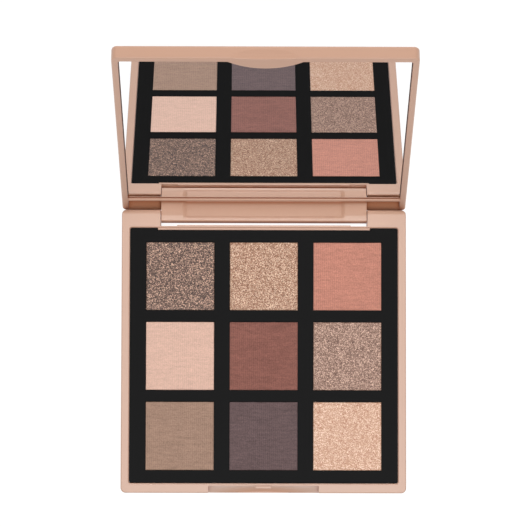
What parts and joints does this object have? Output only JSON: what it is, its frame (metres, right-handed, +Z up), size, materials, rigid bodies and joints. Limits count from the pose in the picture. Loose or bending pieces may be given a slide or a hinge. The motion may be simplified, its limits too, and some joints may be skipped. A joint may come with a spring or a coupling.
{
  "type": "eyeshadow palette",
  "caption": "Slim square hinged eyeshadow palette with a mirror in its lid, a black tray and pans of pressed powder in warm nude shades.",
  "frame": {"origin": "centre of the base's flat underside", "axes": "+Z up out of the underside, +Y from the thumb recess towards the hinge, +X to the right of someone facing the mirror"},
  "size_m": [0.09, 0.1314, 0.0838],
  "materials": {
    "case_plastic": "satin rose-beige moulded plastic",
    "tray_plastic": "matte black moulded plastic",
    "pan_tinplate": "bright pressed tinplate",
    "hinge_pin_steel": "ground steel",
    "mirror_glass": "silvered glass",
    "mirror_adhesive": "double-sided tape",
    "pan_glue": "soft hot-melt glue",
    "powder_rear_left": "pressed powder, brown glitter",
    "powder_rear_centre": "pressed powder, gold glitter",
    "powder_rear_right": "pressed powder, matte coral",
    "powder_middle_left": "pressed powder, matte pale pink",
    "powder_middle_centre": "pressed powder, matte burgundy brown",
    "powder_middle_right": "pressed powder, taupe shimmer",
    "powder_front_left": "pressed powder, matte taupe",
    "powder_front_centre": "pressed powder, matte plum grey",
    "powder_front_right": "pressed powder, champagne shimmer"
  },
  "bodies": {
    "base": {"base_shell": "case_plastic", "pan_tray": "tray_plastic", "pan_rear_left": "pan_tinplate", "pan_rear_centre": "pan_tinplate", "pan_rear_right": "pan_tinplate", "pan_middle_left": "pan_tinplate", "pan_middle_centre": "pan_tinplate", "pan_middle_right": "pan_tinplate", "pan_front_left": "pan_tinplate", "pan_front_centre": "pan_tinplate", "pan_front_right": "pan_tinplate", "powder_rear_left": "powder_rear_left", "powder_rear_centre": "powder_rear_centre", "powder_rear_right": "powder_rear_right", "powder_middle_left": "powder_middle_left", "powder_middle_centre": "powder_middle_centre", "powder_middle_right": "powder_middle_right", "powder_front_left": "powder_front_left", "powder_front_centre": "powder_front_centre", "powder_front_right": "powder_front_right", "pan_glue_rear_left": "pan_glue", "pan_glue_rear_centre": "pan_glue", "pan_glue_rear_right": "pan_glue", "pan_glue_middle_left": "pan_glue", "pan_glue_middle_centre": "pan_glue", "pan_glue_middle_right": "pan_glue", "pan_glue_front_left": "pan_glue", "pan_glue_front_centre": "pan_glue", "pan_glue_front_right": "pan_glue", "hinge_pin_left": "hinge_pin_steel", "hinge_pin_right": "hinge_pin_steel"},
    "lid": {"lid_shell": "case_plastic", "mirror": "mirror_glass", "mirror_adhesive": "mirror_adhesive"}
  },
  "joints": [
    {"name": "lid_hinge", "type": "hinge", "parent": "base", "child": "lid", "pos_m": [0, 0.04315, 0.00545], "axis": [1, 0, 0], "range_deg": [0, 115]}
  ]
}
